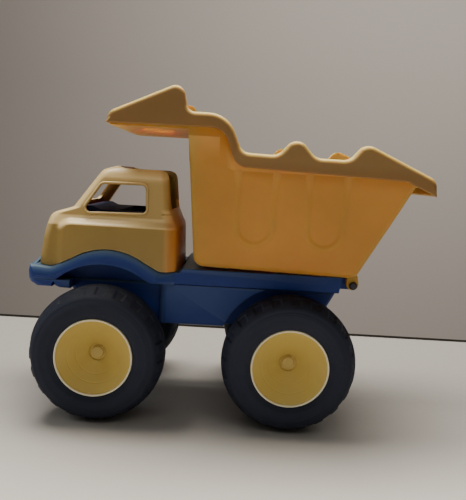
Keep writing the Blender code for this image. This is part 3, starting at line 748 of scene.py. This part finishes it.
def raised_u(name, middle, side):
    """A soft ridge bent into a U on the bed's side wall."""
    half, bend = 14.5, 163.5
    legs = ((half + 1.1, 209.0), (half + 0.3, 188.0), (half, bend))
    path = [(middle - x, z) for x, z in legs]
    path += [(middle - half * math.cos(a), bend - half * math.sin(a))
             for a in (math.pi * k / 24 for k in range(1, 24))]
    path += [(middle + x, z) for x, z in reversed(legs)]
    section = [(-3.6 + 0.45 * k, 0.5 + 0.5 * math.cos(math.pi * (-1 + k / 8))) for k in range(17)]
    section += [(3.6, -1.0), (-3.6, -1.0)]
    rings = []
    for i, (x, z) in enumerate(path):
        back, ahead = path[max(i - 1, 0)], path[min(i + 1, len(path) - 1)]
        heading = Vector((ahead[0] - back[0], 0, ahead[1] - back[1])).normalized()
        across = Vector((-heading.z, 0, heading.x))
        height = 1.0 - 0.5 * smooth(165.0, 185.0, z)
        ring = []
        for u, v in section:
            place = Vector((x, 0, z)) + across * u
            place.y = side * (along(BED_LEVELS, place.z) + v * height - 0.02)
            ring.append(place)
        rings.append(ring)
    return lofted(name, rings)


def make_bed():
    """Tub, rim, canopy and hinge lugs in one moulding."""
    slope = (151.7 - 108.2) / (206.0 - 125.0)
    body = [(35.3, 243.0), (26.0, 128.3, 9.0), (-108.2, 125.2, 9.0), (-151.7, 206.0)]
    body += [(-140.0, 212.0), (-7.0, 216.5), (0.0, 230.0), (9.0, 244.0)]
    bed = soften(prism("bed", rounded(body), -1, 1, BED_LEVELS), 5.0, 45.0, 6,
                 lambda m: 1.0 if abs(m.y) > 55 and m.z < 209 else 0.0)
    join(bed, lofted("rim", [rim_station(y) for y in shoulder_stations(RIM_HALF)]))
    cavity = [(32.4, 280.0), (23.9, 131.0, 7.0), (-106.7, 127.8, 5.0)]
    cavity += [(-106.7 - (280.0 - 127.8) * slope, 280.0)]
    cavity = prism("cavity", rounded(cavity), -1, 1, narrower(BED_LEVELS, WALL))
    cut(bed, soften(cavity, 4.0, 45.0, 5, lambda m: 1.0 if m.z < 275 and abs(m.y) > 50 else 0.0))
    tray = [(31.0, 241.7), (95.0, 241.7, 3.0), (95.0, 280.0), (31.0, 280.0)]
    panel = rounded([(33.0, 239.0), (97.4, 239.0), (97.4, 242.4), (33.0, 242.4)])
    join(bed, prism("panel", panel, -TRAY_HALF - WALL, TRAY_HALF + WALL))
    cut(bed, prism("tray", rounded(tray), -TRAY_HALF, TRAY_HALF))
    roof = inset(rim_outline(), WALL)[:rim_count() - 1]
    under = [(-161.7, 190.0), (-40.0, 190.0), (9.5, 212.0), (9.5, 234.0), (96.6, 234.0)]
    for side in (-1, 1):
        cut(bed, prism("channel", roof + under, side * (TRAY_HALF + 2.4), side * (RIM_HALF - WALL)))
    lip = [(-161.7, 190.0), (-161.7, 207.2), (-154.0, 210.6), (-142.5, 190.0)]
    cut(bed, prism("lip", lip, -TRAY_HALF - 3.1, TRAY_HALF + 3.1))
    dimple = [(0, 230.0), (23.0, 230.0), (22.0, 239.1), (12.0, 241.2), (0, 241.2)]
    dimple = turned("dimple", dimple, (67, 0, 0), "Z")
    for vert in dimple.data.vertices:
        vert.co.y *= 2.5
    cut(bed, dimple)
    for side in (-1, 1):
        lug = rounded([(-102.5, 127.2), (-102.5, 114.3, 5.0), (-113.6, 114.3, 5.0), (-111.5, 130.0)])
        lug = [(x, min(z, 127.0)) for x, z in lug]
        join(bed, soften(prism("lug", lug, side * LUG_Y[0], side * LUG_Y[1]), 0.8, 60.0, 3))
        for middle in (-22.0, -79.0):
            join(bed, raised_u("rib", middle, side))
    cut(bed, rod("pin_hole", PIN_R + GAP, (PIN_X, -70, PIN_Z), (PIN_X, 70, PIN_Z)))
    return finish_shape(bed, 40.0)


# ---------------------------------------------------------------- wheels

def tread(r, y, turn):
    """Radius with shallow pockets between the shoulder blocks, and short marks round the middle."""
    beside = abs(y) - TYRE_MIDDLE
    middle = abs(beside)
    if r < 50.5 or middle > 21.5:
        return r
    place = (turn * BLOCKS + (0.0 if beside > 0 else 0.5)) % 1.0
    pocket = smooth(7.0, 8.2, middle) * (1 - smooth(18.0, 19.6, middle))
    pocket *= smooth(0.16, 0.23, place) * (1 - smooth(0.62, 0.69, place))
    mark = smooth(1.2, 2.0, middle) * (1 - smooth(3.4, 4.2, middle))
    mark *= smooth(0.1, 0.16, place) * (1 - smooth(0.5, 0.56, place))
    return r - 1.2 * pocket - 0.8 * mark


def wheel_piece(name, profile, centre, side, sides, angle, shape=None):
    """A (radius, distance from the truck's middle) profile turned about the axle on one side."""
    handed = [(r, side * y) for r, y in profile]
    return finish_shape(turned(name, handed, (centre, 0.0, AXLE_Z), "Y", sides, shape), angle)


def make_tyre(name, centre, side):
    """Balloon tyre with raised rings on its walls, open towards the hub."""
    outer = rounded([(HUB_R + 0.3, 93.0), (HUB_R + 0.3, 97.2, 0.8), (36.0, 99.6, 3.0), (43.0, 99.9, 6.0),
                     (48.6, 97.0, 5.0), (52.4, 91.0, 7.0), (54.6, 83.0, 9.0), (55.0, 75.0), (54.6, 66.5, 9.0),
                     (52.6, 58.6, 7.0), (48.6, 52.4, 6.0), (43.0, 50.1, 5.0), (36.0, 50.4, 3.0),
                     (HUB_R + 0.3, 52.6, 0.8), (HUB_R + 0.3, 56.0)], 6)
    ringed = []
    for r, y in densify(outer, 0.8):
        lift = 0.0
        for ring, width, height in ((46.0, 0.7, 0.30), (44.2, 0.6, 0.20), (40.6, 0.7, 0.25)):
            lift += height * max(0.0, 1 - ((r - ring) / width) ** 2) if r < 48 else 0.0
        y -= math.copysign(lift, y - TYRE_MIDDLE) if abs(y - TYRE_MIDDLE) > 20 else 0.0
        ringed.append((r, max(50.0, min(100.0, y))))
    inner = [(45.0, 54.0), (51.5, 66.0), (51.5, 84.0), (45.0, 96.0)]
    return wheel_piece(name, ringed + inner, centre, side, 420, 50.0, tread)


def make_hub(name, centre, side):
    """Dished wheel face: a lip with a painted highlight, a straight cone with two fine rings, and a groove round
    the cap.
    """
    cone = rounded([(HUB_R, 90.0), (HUB_R, 97.9, 0.5), (HUB_R - 0.7, HUB_FACE, 0.5), (HUB_R - 1.4, 97.8, 0.4),
                    (HUB_R - 1.8, 96.4, 0.5), (7.6, DISH_FLOOR + 0.1, 0.5), (6.8, DISH_FLOOR - 1.2, 0.2),
                    (5.6, DISH_FLOOR - 1.2, 0.2), (5.5, DISH_FLOOR - 0.2), (2.8, DISH_FLOOR - 0.2)], 6)
    ringed = []
    for r, y in densify(cone, 0.35):
        for ring in (22.4, 16.4):
            if r < 28.0:
                y -= 0.16 * max(0.0, 1 - ((r - ring) / 0.5) ** 2)
        ringed.append((r, y))
    back = [(2.8, 75.4), (6.8, 75.4), (28.0, 93.4), (28.9, 93.4), (28.9, 75.2), (HUB_R, 75.2)]
    return wheel_piece(name, ringed + back, centre, side, 160, 40.0)


def make_cap(name, centre, side):
    """Push-on cap over the axle's end, flat with a rounded edge."""
    bore_top = 79.3
    dome = [(0.0, CAP_FACE), (3.6, CAP_FACE), (4.4, CAP_FACE - 0.2)]
    dome += [(4.9, CAP_FACE - 0.6), (5.1, CAP_FACE - 1.2)]
    foot = [(5.1, DISH_FLOOR + GAP), (2.8, DISH_FLOOR + GAP), (2.8, bore_top), (0.0, bore_top)]
    return wheel_piece(name, dome + foot, centre, side, 64, 40.0)


# ---------------------------------------------------------------- assembly

dress(make_deck(), NAVY, "chassis", "chassis", "chassis_deck").name = "deck_moulding"
dress(make_hull(), NAVY, "chassis", "chassis", "chassis_hull").name = "hull_moulding"
dress(make_cab(), OCHRE, "chassis", "cab", "cab_shell").name = "cab_moulding"
dress(make_interior(), INSIDE, "chassis", "interior", "cab_interior").name = "interior_moulding"
dress(make_bed(), ORANGE, "dump_bed", "bed", "dump_bed").name = "bed_moulding"

for end in ("front", "rear"):
    for hand, side in (("left", 1), ("right", -1)):
        tag = end + "_" + hand
        low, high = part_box("tyre_" + tag)
        centre = (low.x + high.x) / 2 / MM
        body = "wheel_" + tag
        dress(make_tyre("tread_" + tag, centre, side), TYRE, body, "tyre", "tyre_" + tag)
        dress(make_hub("hub_" + tag, centre, side), HUB, body, "hub", "wheel_hub_" + tag)
        dress(make_cap("cap_" + tag, centre, side), CAP, body, "hub", "axle_cap_" + tag)

for name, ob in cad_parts.items():
    if name.startswith("wheel_back"):
        paint(ob, HUB)
    elif "screw" in name or name in ("axle_front", "axle_rear"):
        paint(ob, STEEL)
    elif name.startswith("hinge_pin"):
        paint(ob, DARK_STEEL)


# ---------------------------------------------------------------- studio, in metres

TABLE_EDGE, GROUND_EDGE = -0.255, -0.262
WALL_Y, GROUND_Z = -2.6, -0.9
WALL_PAINT = (0.42, 0.375, 0.335)


def stage_plane(name, corners, colour, rough, far=1.0):
    """A plain painted plane, its colour scaled by far behind the truck as painted shade and plain in front of it.
    """
    bm = bmesh.new()
    bm.faces.new([bm.verts.new(c) for c in corners])
    mesh = bpy.data.meshes.new(name)
    bm.to_mesh(mesh)
    bm.free()
    ob = bpy.data.objects.new(name, mesh)
    bpy.context.scene.collection.objects.link(ob)
    mat, tree, shader = new_material(name + "_paint")
    coords = tree.nodes.new("ShaderNodeTexCoord").outputs["Object"]
    split = tree.nodes.new("ShaderNodeSeparateXYZ")
    tree.links.new(coords, split.inputs[0])
    near = spread(tree, split.outputs["Y"], 0.0, 0.42, 0.0, 1.0)
    base = mixed(tree, near, tuple(c * far for c in colour), colour)
    speckle = spread(tree, noise_node(tree, coords, 160.0, 4.0), 0.45, 0.75, 0.0, 0.10)
    base = mixed(tree, speckle, base, tuple(c * 0.5 for c in colour))
    tree.links.new(base, shader.inputs["Base Color"])
    shader.inputs["Roughness"].default_value = rough
    ob.data.materials.append(mat)
    return ob


# The table: painted shade, darkest from the truck's middle backwards and lighter towards the camera
stage_plane("table", [(-4, TABLE_EDGE, 0), (4, TABLE_EDGE, 0), (4, 4, 0), (-4, 4, 0)],
            (1.0, 0.93, 0.82), 0.6, 0.32)
# A dark strip along the table's back edge: painted shadow of the gap behind the table
stage_plane("table_edge_shadow", [(-4, TABLE_EDGE, 0), (4, TABLE_EDGE, 0),
                           (4, TABLE_EDGE, 0.003), (-4, TABLE_EDGE, 0.003)],
            (0.03, 0.025, 0.02), 0.8)
stage_plane("backdrop", [(-9, WALL_Y, GROUND_Z), (9, WALL_Y, GROUND_Z), (9, WALL_Y, 3.6), (-9, WALL_Y, 3.6)],
            WALL_PAINT, 0.8)
stage_plane("ground", [(-9, WALL_Y, GROUND_Z), (9, WALL_Y, GROUND_Z),
                       (9, GROUND_EDGE, GROUND_Z), (-9, GROUND_EDGE, GROUND_Z)],
            WALL_PAINT, 0.8)


def area_light(name, place, target, size, power, colour):
    """A soft rectangular light at a place, facing a target."""
    light = bpy.data.lights.new(name, "AREA")
    light.shape = "RECTANGLE"
    light.size, light.size_y = size
    light.energy = power
    light.color = colour
    ob = bpy.data.objects.new(name, light)
    ob.location = place
    ob.rotation_euler = (Vector(target) - Vector(place)).to_track_quat("-Z", "Y").to_euler()
    bpy.context.scene.collection.objects.link(ob)


area_light("overhead", (0.05, -0.20, 1.15), (0.0, 0.02, 0.1), (1.1, 0.45), 26.0, (1.0, 0.97, 0.92))
area_light("nose_side", (1.2, 0.1, 0.7), (0, 0, 0.12), (0.6, 0.6), 2.5, (0.90, 0.95, 1.0))
area_light("table_front", (0.0, 0.85, 0.9), (0.0, 0.78, 0.0), (1.2, 0.4), 2.0, (1.0, 0.97, 0.93))
area_light("front_fill", (-0.2, 1.6, 0.5), (0, 0, 0.1), (1.2, 0.8), 0.4, (1.0, 0.97, 0.94))
area_light("backdrop_wash", (-0.9, -0.9, 1.6), (-0.9, -2.6, 0.2), (2.8, 0.6), 53.0, (1.0, 0.97, 0.93))

world = bpy.data.worlds.new("studio")
bpy.context.scene.world = world
world.use_nodes = True
world.node_tree.nodes["Background"].inputs["Color"].default_value = (0.80, 0.82, 0.86, 1.0)
world.node_tree.nodes["Background"].inputs["Strength"].default_value = 0.10

# Camera, slightly above the wheels and looking at the left side
YAW, PITCH, ROLL = (math.radians(a) for a in (0.2, 6.6, 3.3))
camera = bpy.data.objects.new("camera", bpy.data.cameras.new("camera"))
camera.data.lens = 46.8
camera.data.sensor_width = 36.0
forward = Vector((-math.sin(YAW) * math.cos(PITCH), -math.cos(YAW) * math.cos(PITCH), -math.sin(PITCH)))
level = forward.cross(Vector((0, 0, 1))).normalized()
upward = level.cross(forward)
right = level * math.cos(ROLL) + upward * math.sin(ROLL)
up = -level * math.sin(ROLL) + upward * math.cos(ROLL)
place = Matrix((right, up, -forward)).transposed().to_4x4()
place.translation = Vector((-0.004, 0.597, 0.205))
camera.matrix_world = place
bpy.context.scene.collection.objects.link(camera)
bpy.context.scene.camera = camera
